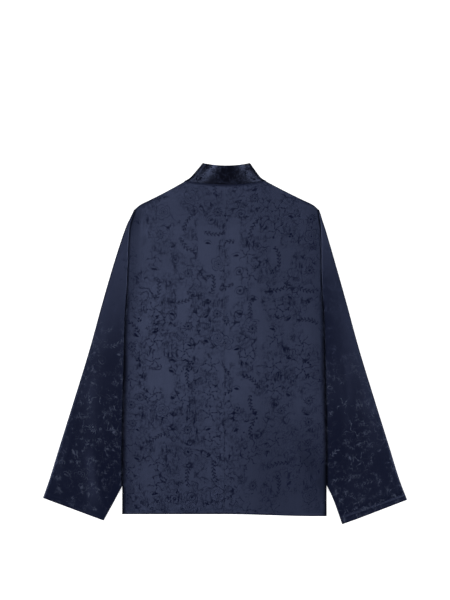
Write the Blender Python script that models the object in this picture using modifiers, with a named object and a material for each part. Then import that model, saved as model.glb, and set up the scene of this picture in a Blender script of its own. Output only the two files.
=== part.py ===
"""A reversible jacket with a stand collar, laid flat on its front with its back upwards.

Metres, Z up. The table is Z = 0, the collar points to +Y, the wearer's left is -X, and the origin is under
the middle of the outline. The cloth is modelled as it lies: two layers on the table at the chest and in the
sleeves, with the sides of the body lying over the inner edges of the sleeves.
"""

import math
from collections import namedtuple

import bmesh
import bpy

MM = 0.001

# Cloth
WALL = 1.6 * MM  # both faces of the reversible cloth together
SEAM = 0.3 * MM  # left open between two pieces at a seam
LAYER_AIR = 2.3 * MM  # between the lower and the upper layer
WELD = 0.01 * MM

# Back and fronts
BACK_LENGTH = 659 * MM  # neck seam to hem down the centre back
NECK_BACK_Y = 318 * MM  # neck seam at the centre back
NECK_RISE = 6.6 * MM  # the neck points stand this far above the centre back
NECK_HALF = 76.5 * MM  # centre back to a neck point
FRONT_NECK_DROP = 87 * MM  # neck points to the front neck
HEM_DROP_RIGHT = 4 * MM  # the right end of the hem lies this much lower
CROSS_AT_NECK = 10 * MM  # each front goes this far past the centre at the neck
CROSS_AT_HEM = 60 * MM  # and this far at the hem
CROSS_RAMP = 40 * MM  # the upper front comes down to the table over this width
EDGE_ROLL = 8 * MM  # width of the rolled edge at the sides and shoulders
ROLL_FADE = 25 * MM  # the shoulder's roll grows over this width from the neck point
SIDE_AIR = 2.0 * MM  # between front and back where they lie over a sleeve

# Where the sides of the body climb over the sleeves
CLIMB_FROM_X = 70 * MM
CLIMB_TO_X = 156 * MM
CLIMB_FROM_Y = 128 * MM
CLIMB_TO_Y = 84 * MM

# Sleeves
FOLD = 4 * MM  # half width of the fold along each edge of a sleeve
WALL_STEPS = 7  # segments across one wall of a sleeve
RING_STEPS = 2  # rings for each row of the sleeve table
KNEE = 0.75  # share of a ring from its outer edge to its knee
ARMHOLE_FADE = 2  # rows over which the shape of the armhole fades out

# Collar
COLLAR_BASE_HALF = 75 * MM
COLLAR_BASE_RISE = 7.5 * MM  # the lower edge stands this far above the centre back at the neck points
COLLAR_TOP_HALF = 45.5 * MM
COLLAR_CORNER_Y = 360 * MM  # upper corners
COLLAR_SAG = 5.2 * MM  # the upper edge dips this much at the centre back
COLLAR_FRONT_DROP = 84 * MM  # upper corners to the upper edge at the front
COLLAR_LEAN = 3 * MM  # the upper edge lies this far to the right
COLLAR_END_GAP = 0.6 * MM  # between the two ends at the centre front
COLLAR_STEPS = 4
COLLAR_FOLD_FROM = 0.86  # share of the half width at which it turns into the fold

# Half width of the body down its side
SideRow = namedtuple("SideRow", "y half_width")
SIDE = [
    SideRow(-345, 204.6),
    SideRow(-190, 204.0),
    SideRow(-62, 201.0),
    SideRow(50, 198.0),
    SideRow(98, 195.0),
    SideRow(180, 193.0),
    SideRow(226, 191.5),
    SideRow(246, 187.5),
    SideRow(265, 183.0),
]

# Shoulder line from the neck point to the shoulder tip
ShoulderRow = namedtuple("ShoulderRow", "x y")
SHOULDER = [
    ShoulderRow(76.5, 324.3),
    ShoulderRow(104, 310),
    ShoulderRow(128, 298),
    ShoulderRow(152, 286),
    ShoulderRow(173, 274),
    ShoulderRow(183, 265),
]

# Top end of a sleeve, sewn to the armhole down to the underarm and then turned in under the body
ArmholeRow = namedtuple("ArmholeRow", "share x y")
ARMHOLE = [
    ArmholeRow(0.0, 184.4, 264.0),
    ArmholeRow(0.1, 189.7, 243),
    ArmholeRow(0.2, 192.8, 222),
    ArmholeRow(0.4, 194.1, 176),
    ArmholeRow(0.6, 195.7, 124),
    ArmholeRow(0.75, 197.2, 84),
    ArmholeRow(0.86, 192.5, 63),
    ArmholeRow(0.94, 183.0, 54),
    ArmholeRow(1.0, 171.0, 48),
]

# Rings of a sleeve from the armhole to the cuff: outer edge, a knee three quarters across, inner edge
SleeveRow = namedtuple("SleeveRow", "outer_x outer_y knee_x knee_y inner_x inner_y")
SLEEVE = [
    SleeveRow(184.4, 264, 197.2, 84, 171.0, 48),
    SleeveRow(191.5, 249, 200.6, 74, 167.5, 22),
    SleeveRow(201.0, 224, 204.3, 58, 165.5, -8),
    SleeveRow(219.0, 166, 205.0, 22, 163.5, -52),
    SleeveRow(241.5, 88, 191.0, -44, 162.0, -108),
    SleeveRow(269.5, -14, 189.0, -122, 162.0, -158),
    SleeveRow(297.0, -108, 200.3, -181.5, 168.0, -206),
    SleeveRow(327.5, -204, 222.9, -240, 188.0, -252),
    SleeveRow(348.5, -270, 248.8, -297, 215.5, -306),
]
# The cuffs are not quite the same on the two sides
CUFF = {
    "left": SleeveRow(360.8, -310, 271.9, -342.6, 242.2, -353.4),
    "right": SleeveRow(360.8, -308, 266.8, -347, 235.4, -360),
}

# Grid lines: across a back from the centre to the side, and up a body panel from the hem to the top
BACK_COLUMNS = [0, 0.1, 0.2, 0.31, 0.418, 0.52, 0.63, 0.74, 0.84, 0.92, 0.965, 0.985, 1]
BODY_ROWS = [0, 0.06, 0.12, 0.19, 0.26, 0.33, 0.40, 0.47, 0.54, 0.60, 0.645, 0.68, 0.715, 0.75]
BODY_ROWS += [0.80, 0.86, 0.92, 0.96, 0.975, 0.99, 1]
# Across a front at the neck, from its edge to the shoulder tip, as distances from the centre front
FRONT_COLUMNS = [-10, 5, 20, 38, 54, 66, 73, 76.5, 100, 124, 146, 162, 175, 183]
# Across half of the collar, as shares of its half width
COLLAR_COLUMNS = [0, 0.26, 0.5, 0.71, 0.86, 0.91, 0.95, 0.98, 0.995, 1]

UNDERARM_ROLL = (110 * MM, 84 * MM)  # the side is rolled fully below the second height
LOWER_MID = WALL / 2
UPPER_MID = WALL * 1.5 + LAYER_AIR
SLEEVE_LIFT = 2 * WALL + LAYER_AIR + 0.4 * MM  # underside of a front that lies over a sleeve
BACK_RISE = SLEEVE_LIFT + SIDE_AIR - LAYER_AIR  # a back rises this far where it lies over a sleeve
CROSS_LIFT = WALL + 0.4 * MM  # underside of the left front where it lies over the right one
TIP_HALF = SIDE[-1].half_width * MM


def ease(value):
    """Rise smoothly from 0 to 1 as value goes from 0 to 1."""
    value = min(1.0, max(0.0, value))
    return value * value * (3 - 2 * value)


def mix(first, second, share):
    return first + (second - first) * share


def read(keys, values, key):
    """Smooth curve through a table, held level past its ends."""
    if key <= keys[0]:
        return values[0]
    if key >= keys[-1]:
        return values[-1]
    i = max(n for n in range(len(keys) - 1) if keys[n] <= key)

    def slope(n):
        before, after = max(n - 1, 0), min(n + 1, len(keys) - 1)
        return (values[after] - values[before]) / (keys[after] - keys[before])

    width = keys[i + 1] - keys[i]
    t = (key - keys[i]) / width
    return (
        (2 * t**3 - 3 * t**2 + 1) * values[i]
        + (t**3 - 2 * t**2 + t) * width * slope(i)
        + (3 * t**2 - 2 * t**3) * values[i + 1]
        + (t**3 - t**2) * width * slope(i + 1)
    )


def side_x(y):
    """Half width of the body at a height."""
    return read([row.y for row in SIDE], [row.half_width for row in SIDE], y / MM) * MM


def shoulder_y(x):
    return read([row.x for row in SHOULDER], [row.y for row in SHOULDER], x / MM) * MM


def hem_y(x):
    return NECK_BACK_Y - BACK_LENGTH - HEM_DROP_RIGHT * ease(x / TIP_HALF)


def back_top_y(x):
    """Upper edge of a back: the neck seam, then the shoulder."""
    x = abs(x)
    if x < NECK_HALF:
        return NECK_BACK_Y - SEAM + NECK_RISE * (x / NECK_HALF) ** 2
    return shoulder_y(x)


def front_top_y(x):
    """Upper edge of a front: the scooped neck, then the shoulder."""
    x = abs(x)
    if x < NECK_HALF:
        neck_point = shoulder_y(NECK_HALF)
        return neck_point - FRONT_NECK_DROP * (1 - (x / NECK_HALF) ** 2)
    return shoulder_y(x)


def climb(x, y):
    """Share of the climb over a sleeve: 0 in the middle and at the chest, 1 at the sides lower down."""
    across = ease((abs(x) - CLIMB_FROM_X) / (CLIMB_TO_X - CLIMB_FROM_X))
    down = ease((CLIMB_FROM_Y - y) / (CLIMB_FROM_Y - CLIMB_TO_Y))
    return across * down


def crossing(y):
    """How far each front goes past the centre at a height."""
    neck, hem = front_top_y(0), hem_y(0)
    return mix(CROSS_AT_HEM, CROSS_AT_NECK, (y - hem) / (neck - hem))


def cloth(name, columns, rows, point, material, closed=False):
    """One piece of cloth: a grid laid on a surface, thickened by a Solidify modifier."""
    grid = bmesh.new()
    across, along = len(columns) - 1, len(rows) - 1
    bmesh.ops.create_grid(grid, x_segments=across, y_segments=along, size=0.5)
    for vertex in grid.verts:
        column = columns[round((vertex.co.x + 0.5) * across)]
        row = rows[round((vertex.co.y + 0.5) * along)]
        vertex.co = point(column, row)
    if closed:
        bmesh.ops.remove_doubles(grid, verts=grid.verts, dist=WELD)
    bmesh.ops.recalc_face_normals(grid, faces=grid.faces)
    mesh = bpy.data.meshes.new(name)
    grid.to_mesh(mesh)
    grid.free()
    mesh.materials.append(material)
    piece = bpy.data.objects.new(name, mesh)
    wall = piece.modifiers.new("Wall", "SOLIDIFY")
    wall.thickness = WALL
    wall.offset = 0
    jacket.objects.link(piece)
    return piece


def back(side):
    """Half of the back, from the centre back seam to the side."""
    sign = -1 if side == "left" else 1

    def point(t, v):
        low = hem_y(sign * t * side_x(-BACK_LENGTH))
        y = mix(low, back_top_y(t * TIP_HALF), v)
        x = SEAM / 2 + t * (side_x(y) - SEAM / 2)
        risen = UPPER_MID + BACK_RISE * climb(x, y)
        on_front = WALL * 1.5 + SEAM + SLEEVE_LIFT * climb(x, y)
        rolled = ease((UNDERARM_ROLL[0] - y) / (UNDERARM_ROLL[0] - UNDERARM_ROLL[1]))
        rolled *= max(0.0, 1 - (side_x(y) - x) / EDGE_ROLL) ** 2
        if x > NECK_HALF:
            at_shoulder = max(0.0, 1 - (shoulder_y(x) - y) / EDGE_ROLL) ** 2
            rolled = max(rolled, at_shoulder * ease((x - NECK_HALF) / ROLL_FADE))
        return sign * x, y, mix(risen, on_front, rolled)

    return cloth("back_" + side, BACK_COLUMNS, BODY_ROWS, point, body_cloth)


def front(side):
    """A front, lying on the table in the middle and over a sleeve at its side."""
    sign = -1 if side == "left" else 1

    def point(place, v):
        t = (place * MM + CROSS_AT_NECK) / (TIP_HALF + CROSS_AT_NECK)
        low = hem_y(sign * mix(-CROSS_AT_HEM, side_x(-BACK_LENGTH), t))
        y = mix(low, front_top_y(place * MM) - SEAM, v)
        x = mix(-crossing(y), side_x(y), t)
        z = LOWER_MID + SLEEVE_LIFT * climb(x, y)
        if side == "left":
            z += CROSS_LIFT * ease(1 - (x - crossing(y) - 2 * MM) / CROSS_RAMP)
        return sign * x, y, z

    return cloth("front_" + side, FRONT_COLUMNS, BODY_ROWS, point, body_cloth)


def sleeve(side):
    """A sleeve: rings from the armhole to the cuff, each a flattened loop of cloth."""
    sign = -1 if side == "left" else 1
    rows = SLEEVE + [CUFF[side]]
    numbers = list(range(len(rows)))
    rings = [n / RING_STEPS for n in range((len(rows) - 1) * RING_STEPS + 1)]

    # Around a ring: the place across it, its turn into the fold, and its height from -1 to 1
    around = [(n / WALL_STEPS, 0.0, 1.0) for n in range(WALL_STEPS + 1)]
    around += [(1.0, math.cos(math.radians(a)), math.sin(math.radians(a))) for a in (45, 0, -45)]
    around += [(1 - n / WALL_STEPS, 0.0, -1.0) for n in range(WALL_STEPS + 1)]
    around += [(0.0, -math.cos(math.radians(a)), math.sin(math.radians(a))) for a in (-45, 0, 45)]
    around.append(around[0])

    def ring_at(number, share):
        """A place across a ring, by the curve through its edges and its knee."""
        row = [read(numbers, [getattr(r, name) for r in rows], number) for name in SleeveRow._fields]
        shares = (0, KNEE, 1)
        return read(shares, row[0::2], share), read(shares, row[1::2], share), row

    def point(place, ring):
        outer_x, outer_y, _, _, inner_x, inner_y = ring_at(ring, 0)[2]
        fold = FOLD / MM / math.hypot(inner_x - outer_x, inner_y - outer_y)
        share = fold + (1 - 2 * fold) * place[0] + fold * place[1]
        x, y, _ = ring_at(ring, share)
        sewn = max(0.0, 1 - ring / ARMHOLE_FADE)
        shares = [row.share for row in ARMHOLE]
        x += sewn * (read(shares, [row.x for row in ARMHOLE], share) - ring_at(0, share)[0])
        y += sewn * (read(shares, [row.y for row in ARMHOLE], share) - ring_at(0, share)[1])
        z = mix(LOWER_MID, UPPER_MID, (1 + place[2]) / 2)
        return sign * x * MM, y * MM, z

    return cloth("sleeve_" + side, around, rings, point, sleeve_cloth, closed=True)


def collar():
    """The stand collar: a band open at the centre front, folded flat at the sides of the neck."""
    front_shares = COLLAR_COLUMNS[-2:0:-1] + [COLLAR_END_GAP / 2 / COLLAR_TOP_HALF]
    half = [(share, 1) for share in COLLAR_COLUMNS] + [(share, -1) for share in front_shares]
    around = [(-share, layer) for share, layer in half[:0:-1]] + half
    heights = [n / COLLAR_STEPS for n in range(COLLAR_STEPS + 1)]

    def point(place, height):
        share, layer = place
        if layer > 0:
            drop = mix(COLLAR_BASE_RISE, COLLAR_SAG, height) * (1 - share**2)
        else:
            drop = mix(FRONT_NECK_DROP, COLLAR_FRONT_DROP, height) * (1 - share**2)
        into_fold = max(0.0, abs(share) - COLLAR_FOLD_FROM) / (1 - COLLAR_FOLD_FROM)
        level = layer * math.sqrt(1 - into_fold**2)
        x = share * mix(COLLAR_BASE_HALF, COLLAR_TOP_HALF, height) + COLLAR_LEAN * height
        y = mix(NECK_BACK_Y + COLLAR_BASE_RISE, COLLAR_CORNER_Y, height) - drop
        return x, y, mix(LOWER_MID, UPPER_MID, (1 + level) / 2)

    return cloth("collar", around, heights, point, collar_cloth)


def fabric(name, colour):
    """A navy satin."""
    material = bpy.data.materials.new(name)
    material.use_nodes = True
    shader = material.node_tree.nodes["Principled BSDF"]
    shader.inputs["Base Color"].default_value = (*colour, 1)
    shader.inputs["Roughness"].default_value = 0.45
    material.diffuse_color = (*colour, 1)
    return material


for old in list(bpy.data.objects):
    bpy.data.objects.remove(old)

jacket = bpy.data.collections.new("reversible_jacket")
bpy.context.scene.collection.children.link(jacket)
body_cloth = fabric("body_cloth", (0.027, 0.034, 0.062))
sleeve_cloth = fabric("sleeve_cloth", (0.022, 0.028, 0.052))
collar_cloth = fabric("collar_cloth", (0.020, 0.025, 0.047))

for side in ("left", "right"):
    front(side)
    back(side)
    sleeve(side)
collar()
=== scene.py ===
import math

import bpy
import numpy as np
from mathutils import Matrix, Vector


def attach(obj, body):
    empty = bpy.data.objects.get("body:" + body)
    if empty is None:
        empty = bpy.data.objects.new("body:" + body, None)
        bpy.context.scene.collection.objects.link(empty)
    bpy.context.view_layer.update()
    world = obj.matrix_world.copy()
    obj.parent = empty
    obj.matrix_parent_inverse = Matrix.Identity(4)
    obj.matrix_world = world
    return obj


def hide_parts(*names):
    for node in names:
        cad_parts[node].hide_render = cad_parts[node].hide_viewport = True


# Reversible jacket in navy figured satin, laid flat with its back up.
# Metres, Z up, the collar points to +Y and the table is Z = 0. The tables below are in millimetres.
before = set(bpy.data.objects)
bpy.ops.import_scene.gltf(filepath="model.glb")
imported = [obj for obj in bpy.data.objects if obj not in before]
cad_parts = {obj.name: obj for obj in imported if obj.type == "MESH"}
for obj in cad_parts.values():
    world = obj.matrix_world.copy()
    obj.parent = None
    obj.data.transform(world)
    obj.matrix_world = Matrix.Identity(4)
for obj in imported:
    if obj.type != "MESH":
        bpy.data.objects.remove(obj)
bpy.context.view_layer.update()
scene = bpy.context.scene
mm = 0.001
uvName = "clothUv"
# the first attribute paints a piece's colour darker as shade, the second fades its figure
paintedShadeName, faintName = "paintedRimShade", "faintFigure"


# Helpers for tables and heights

def ease(t):
    # smooth rise from 0 to 1: 3t^2 - 2t^3
    t = np.clip(t, 0.0, 1.0)
    return t * t * (3 - 2 * t)


def rise(value, start, end):
    # smooth step: 0 at the start, 1 at the end
    return ease((value - start) / (end - start))


def curl(d, width):
    # 1 on an edge, falling to 0 over the width as a square
    return np.clip(1 - d / width, 0, 1) ** 2


def mix(a, b, t):
    return a + (b - a) * t


def bell(d, width):
    # 1 on the line, falling off as a bell on both sides
    return np.exp(-(d / width) ** 2)


def hermite(a, b, slopeA, slopeB, width, t):
    # cubic from a to b that leaves and arrives with the two slopes
    return ((2 * t**3 - 3 * t**2 + 1) * a + (t**3 - 2 * t**2 + t) * width * slopeA
            + (3 * t**2 - 2 * t**3) * b + (t**3 - t**2) * width * slopeB)


def curveThrough(keys, values, at):
    # smooth curve through a table: the slope at a row comes from its two neighbours, level past the ends
    keys = np.asarray(keys, float)
    values = np.asarray(values, float)
    last = len(keys) - 1
    before = np.maximum(np.arange(last + 1) - 1, 0)
    after = np.minimum(np.arange(last + 1) + 1, last)
    slopes = (values[after] - values[before]) / (keys[after] - keys[before])
    at = np.clip(at, keys[0], keys[-1])
    i = np.clip(np.searchsorted(keys, at, side="right") - 1, 0, last - 1)
    width = keys[i + 1] - keys[i]
    return hermite(values[i], values[i + 1], slopes[i], slopes[i + 1], width, (at - keys[i]) / width)


def closeAtEnds(count, share, guard=0.0):
    # places from 0 to 1 that stand closer together near both ends; a guard line keeps an edge crisp
    s = np.linspace(0.0, 1.0, count + 1)
    s = s - share * np.sin(2 * np.pi * s) / (2 * np.pi)
    return np.concatenate([[0.0, guard], s[1:-1], [1 - guard, 1.0]]) if guard else s


creaseFade = 0.35  # share of its length over which a crease dies out at each end


def creaseHeight(x, y, creases):
    # sum of soft ridges and troughs: each follows a bent line, is a bell across it and dies out at both ends
    total = np.zeros_like(x)
    for path, widths, height in creases:
        points = np.array(path, float)
        lengths = np.hypot(*(points[1:] - points[:-1]).T)
        whole = lengths.sum()
        nearest = np.full_like(x, np.inf)
        across = np.zeros_like(x)
        along = np.zeros_like(x)
        gone = 0.0
        for (ax, ay), (bx, by), length in zip(points[:-1], points[1:], lengths):
            ux, uy = (bx - ax) / length, (by - ay) / length
            run = np.clip((x - ax) * ux + (y - ay) * uy, 0, length)
            off = np.hypot(x - ax - run * ux, y - ay - run * uy)
            side = (x - ax) * uy - (y - ay) * ux
            here = off < nearest
            across = np.where(here, off * np.sign(side), across)
            along = np.where(here, (gone + run) / whole, along)
            nearest = np.where(here, off, nearest)
            gone += length
        width = np.where(across > 0, widths[0], widths[1])
        total += height * bell(across, width) * ease(along / creaseFade) * ease((1 - along) / creaseFade)
    return total


# Cloth pieces

# height, and how far to the right the jacket lies there
leanTable = [(40, 0), (166, 0.6), (238, 2.2), (262, 4.2), (286, 4.0), (310, 3.0), (325, 2.0), (360, 2.0)]


def leaning(place):
    # the upper part of the jacket lies a few millimetres to the right
    place = place.copy()
    place[..., 0] += curveThrough(*zip(*leanTable), place[..., 1] / mm) * mm
    return place


def clothPiece(name, place, flatPlace, satinFace, closed=False, outside=(0, 0, 1), foldAt=(), tones=None):
    # a grid of points (rows, columns, 3) becomes one mesh of quads, thickened half to each side;
    # the tones are numbers from 0 to 1 at the points, which the satin reads by name
    rows, columns = place.shape[:2]
    number = np.arange(rows * columns).reshape(rows, columns)
    folded = number[foldAt].ravel() if foldAt else []
    if closed:
        number = np.hstack([number, number[:, :1]])
    quads = np.stack([number[:-1, :-1], number[:-1, 1:], number[1:, 1:], number[1:, :-1]], -1).reshape(-1, 4)
    points = leaning(place).reshape(-1, 3)
    # one quad in the middle of the wall that shows tells which way the faces point
    across = number.shape[1] - 1
    sample = quads[(rows // 2) * across + (across // 4 if closed else across // 2)]
    normal = np.cross(points[sample[2]] - points[sample[0]], points[sample[3]] - points[sample[1]])
    if normal @ np.array(outside) < 0:
        quads = quads[:, ::-1]
    mesh = bpy.data.meshes.new(name)
    mesh.vertices.add(len(points))
    mesh.vertices.foreach_set("co", points.ravel().astype(np.float32))
    mesh.loops.add(quads.size)
    mesh.loops.foreach_set("vertex_index", quads.ravel().astype(np.int32))
    mesh.polygons.add(len(quads))
    mesh.polygons.foreach_set("loop_start", np.arange(0, quads.size, 4, dtype=np.int32))
    mesh.update(calc_edges=True)
    mesh.polygons.foreach_set("use_smooth", np.ones(len(quads), bool))
    # the cut edges, which have one face, and the folds of the seam allowances stay sharp
    edgeOf = np.empty(quads.size, np.int32)
    mesh.loops.foreach_get("edge_index", edgeOf)
    ends = np.empty(2 * len(mesh.edges), np.int32)
    mesh.edges.foreach_get("vertices", ends)
    crisp = np.bincount(edgeOf, minlength=len(mesh.edges)) == 1
    crisp |= np.isin(ends.reshape(-1, 2), folded).all(axis=1)
    mesh.attributes.new("sharp_edge", "BOOLEAN", "EDGE").data.foreach_set("value", crisp)
    layer = mesh.uv_layers.new(name=uvName)
    layer.data.foreach_set("uv", flatPlace.reshape(-1, 2)[quads.ravel()].ravel().astype(np.float32))
    for tone, amount in (tones or {}).items():
        amount = amount.ravel().astype(np.float32)
        mesh.attributes.new(tone, "FLOAT", "POINT").data.foreach_set("value", amount)
    mesh.materials.append(satinFace)
    mesh.materials.append(reverseCloth)
    piece = bpy.data.objects.new(name, mesh)
    scene.collection.objects.link(piece)
    shell = piece.modifiers.new("Wall", "SOLIDIFY")
    shell.thickness = body["wall"] * mm
    shell.offset = 0
    shell.material_offset = 1
    print("made", name, len(quads), "quads")
    return piece


# Figured satin: shared node group

class NodeSheet:
    # adds nodes to one tree and links them as they are made
    def __init__(self, tree):
        self.tree = tree

    def feed(self, socket, value):
        if isinstance(value, bpy.types.NodeSocket):
            self.tree.links.new(value, socket)
        else:
            socket.default_value = value

    def add(self, kind, **inputs):
        node = self.tree.nodes.new(kind)
        for name, value in inputs.items():
            self.feed(node.inputs[name], value)
        return node

    def calc(self, operation, *values, clamp=False):
        node = self.tree.nodes.new("ShaderNodeMath")
        node.operation = operation
        node.use_clamp = clamp
        for socket, value in zip(node.inputs, values):
            self.feed(socket, value)
        return node.outputs[0]

    def times(self, *values):
        product = values[0]
        for value in values[1:]:
            product = self.calc("MULTIPLY", product, value)
        return product

    def plus(self, a, b):
        return self.calc("ADD", a, b)

    def minus(self, a, b):
        return self.calc("SUBTRACT", a, b)

    def most(self, *values):
        top = values[0]
        for value in values[1:]:
            top = self.calc("MAXIMUM", top, value)
        return top

    def scaled(self, value, factor, more):
        return self.calc("MULTIPLY_ADD", value, factor, more)

    def ramp(self, value, factor, more):
        # the same, kept between 0 and 1
        return self.calc("MULTIPLY_ADD", value, factor, more, clamp=True)

    def noise(self, u, v, acrossPitch, alongPitch, layer, detail):
        place = self.pair(self.times(u, acrossPitch), self.times(v, alongPitch), layer)
        return self.add("ShaderNodeTexNoise", Vector=place, Scale=1.0, Detail=detail).outputs[0]

    def inside(self, d, limit, soft=0.35):
        # 1 where d is below the limit, with a soft edge
        return self.ramp(d, -1 / soft, limit / soft + 0.5)

    def line(self, d, half, soft=0.35):
        # 1 on the line where d is 0, half its width to each side
        return self.inside(self.calc("ABSOLUTE", d), half, soft)

    def length(self, p, q):
        return self.calc("SQRT", self.plus(self.times(p, p), self.times(q, q)))

    def pair(self, p, q, third=0.0):
        return self.add("ShaderNodeCombineXYZ", X=p, Y=q, Z=third).outputs[0]

    def mixColour(self, factor, a, b, blend="MIX"):
        node = self.tree.nodes.new("ShaderNodeMix")
        node.data_type = "RGBA"
        node.blend_type = blend
        self.feed(node.inputs[0], factor)
        self.feed(node.inputs[6], a)
        self.feed(node.inputs[7], b)
        return node.outputs[2]


motifCells = {  # repeat across and along, play in the cell, range of turn, shift across and along, seed
    "large": (56.0, 52.0, 9.0, 2 * math.pi, 0.0, 0.0, 1.0),
    "middle": (35.0, 38.0, 9.0, 1.3, 17.0, 31.0, 2.0),
    "small": (21.0, 24.0, 7.0, 2 * math.pi, 5.0, 11.0, 3.0),
}
figure = {  # sizes in millimetres
    "thread": 0.56,  # half width of a drawn line
    "clear": 14.0,  # nothing else is drawn this close to the middle of a large motif
    "waver": 3.0,  # the drawing wavers by this much
    "waverScale": 80.0,
    "waverDetail": 1.0,
    "ridge": 0.9,  # pitch of the warp threads
    "ridgeHeight": 0.06,
    "rib": 1.2,  # half pitch of the ribs across the figure
    "slubHeight": 0.12,
}
unevenness = {  # steps of each noise to the millimetre across and along, its layer and its detail
    "patch": (0.022, 0.022, 4.0, 1.0),
    "dash": (0.34, 0.055, 0.0, 1.0),
    "loose": (0.07, 0.055, 9.0, 0.5),
    "gap": (0.2, 0.2, 6.0, 1.0),
    "gather": (0.024, 0.008, 2.0, 1.0),
    "depth": (0.07, 0.07, 7.0, 2.0),
    "streak": (0.5, 0.02, 0.0, 2.0),
    "slub": (0.35, 0.5, 5.0, 0.0),
}
contrast = {  # slope and start of the ramp that makes each mask
    "brush": (14.0, -7.5),
    "dash": (10.0, -5.3),
    "dashPatch": (8.0, -3.9),
    "loosePatch": (-8.0, 4.3),
    "gap": (10.0, -4.6),
    "closePatch": (9.0, -3.6),
    "widePatch": (-9.0, 4.6),
    "gather": (7.0, -2.45),
    "fill": (1.8, -0.3),
    "fillDepth": (3.0, -0.8),
    "motif": (2.0, -0.3),
    "unseen": (-7.0, 4.2),
}


def motifCell(s, u, v, name):
    # half-drop cells: each gives its own turned and shifted place, and a number to pick a motif by
    wide, tall, play, turning, shiftAcross, shiftAlong, seed = motifCells[name]
    u = s.plus(u, shiftAcross)
    v = s.plus(v, shiftAlong)
    column = s.calc("FLOOR", s.calc("DIVIDE", u, wide))
    drop = s.times(s.calc("FLOORED_MODULO", column, 2.0), tall / 2)
    v = s.plus(v, drop)
    row = s.calc("FLOOR", s.calc("DIVIDE", v, tall))
    chance = s.add("ShaderNodeTexWhiteNoise", Vector=s.pair(column, row, seed))
    shift = s.add("ShaderNodeSeparateColor", Color=chance.outputs["Color"])
    p = s.minus(u, s.scaled(column, wide, wide / 2))
    q = s.minus(v, s.scaled(row, tall, tall / 2))
    p = s.plus(p, s.scaled(shift.outputs[0], 2 * play, -play))
    q = s.plus(q, s.scaled(shift.outputs[1], 2 * play, -play))
    turn = s.scaled(shift.outputs[2], turning, -turning / 2)
    cosine, sine = s.calc("COSINE", turn), s.calc("SINE", turn)
    return (s.plus(s.times(p, cosine), s.times(q, sine)),
            s.minus(s.times(q, cosine), s.times(p, sine)), chance.outputs["Value"])


def between(s, pick, low, high):
    return s.times(s.calc("GREATER_THAN", pick, low), s.calc("LESS_THAN", pick, high))


blossomShape = {
    "petals": 5,
    "size": 15.0,
    "edge": (0.55, 0.45),  # shares of the size: what a petal adds, and what is left between petals
    "inner": (0.6, 0.75, 0.8),  # second line: share of the edge, of the thread and of the depth
    "dots": (10, 0.28),  # number, and share of the size at which their ring lies
    "heart": 1.6,
}


def blossom(s, p, q, thread):
    # five petals: an outline, a second line inside it, a ring of dots and a filled heart
    shape = blossomShape
    size, (added, least) = shape["size"], shape["edge"]
    r = s.length(p, q)
    angle = s.times(s.calc("ARCTAN2", q, p), shape["petals"] / 2)
    petal = s.calc("ABSOLUTE", s.calc("COSINE", angle))
    edge = s.scaled(s.calc("SQRT", petal), size * added, size * least)
    outline = s.line(s.minus(r, edge), thread)
    innerAt, innerThread, innerDepth = shape["inner"]
    inner = s.line(s.minus(r, s.times(edge, innerAt)), thread * innerThread)
    dots, dotsAt = shape["dots"]
    dotted = s.calc("GREATER_THAN", s.calc("COSINE", s.times(angle, 2 * dots / shape["petals"])), 0.0)
    dotRing = s.times(s.line(s.minus(r, size * dotsAt), thread), dotted)
    return s.most(outline, s.times(inner, innerDepth), dotRing, s.inside(r, shape["heart"]))


rayShape = {
    "rays": 12,
    "curl": 0.05,  # radians to the millimetre
    "lobes": 3.0,
    "reach": (2.5, 11.5),  # how far the ends come and go, and their middle
    "soft": 1.5,
    "from": 4.2,
    "ray": 0.85,  # share of the thread
    "ring": (7.6, 0.6),  # radius and share of the thread
    "heart": 2.3,
}


def rayFlower(s, p, q, thread):
    # many thin petals that curl a little, about a dark heart
    shape = rayShape
    r = s.length(p, q)
    angle = s.plus(s.calc("ARCTAN2", q, p), s.times(r, shape["curl"]))
    off = s.calc("ABSOLUTE", s.calc("SINE", s.times(angle, shape["rays"] / 2)))
    off = s.times(off, r, 2 / shape["rays"])
    reach = s.scaled(s.calc("COSINE", s.times(angle, shape["lobes"])), *shape["reach"])
    ends = s.times(s.inside(s.minus(r, reach), 0.0, shape["soft"]), s.calc("GREATER_THAN", r, shape["from"]))
    rays = s.times(s.inside(off, thread * shape["ray"]), ends)
    ringAt, ringThread = shape["ring"]
    return s.most(rays, s.line(s.minus(r, ringAt), thread * ringThread), s.inside(r, shape["heart"]))


branchShape = {
    "twigs": 5,
    "bend": 0.12,  # radians to the millimetre
    "twig": 0.7,  # share of the thread
    "leafStep": 0.95,  # radians to the millimetre
    "leaf": (1.7, -0.4),  # how far the edge of the leaves comes and goes, and its middle
    "leafSoft": 0.6,
    "leafDepth": 0.9,
    "reach": (18.0, 2.0),  # radius and soft edge
}


def branch(s, p, q, thread):
    # five bent twigs from one point, with small leaves along them
    shape = branchShape
    r = s.length(p, q)
    angle = s.plus(s.calc("ARCTAN2", q, p), s.calc("SINE", s.times(r, shape["bend"])))
    off = s.calc("ABSOLUTE", s.calc("SINE", s.times(angle, shape["twigs"] / 2)))
    off = s.times(off, r, 2 / shape["twigs"])
    twig = s.inside(off, thread * shape["twig"])
    leafEdge = s.scaled(s.calc("COSINE", s.times(r, shape["leafStep"])), *shape["leaf"])
    leaf = s.inside(s.minus(off, leafEdge), 0.0, shape["leafSoft"])
    return s.times(s.most(twig, s.times(leaf, shape["leafDepth"])), s.inside(r, *shape["reach"]))


sprayShape = {
    "reach": (22.0, 2.0),  # half length and soft end
    "bend": 0.012,
    "stem": 0.7,  # share of the thread
    "step": 7.0,  # from leaf to leaf
    "stagger": 1.9,
    "start": 1.8,
    "offStem": 0.4,
    "slant": (0.74, 0.67),  # cosine and sine of the slant of a leaf
    "leafAt": 3.0,
    "leafHalf": 3.2,
    "leafWide": 1.1,
}


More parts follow.
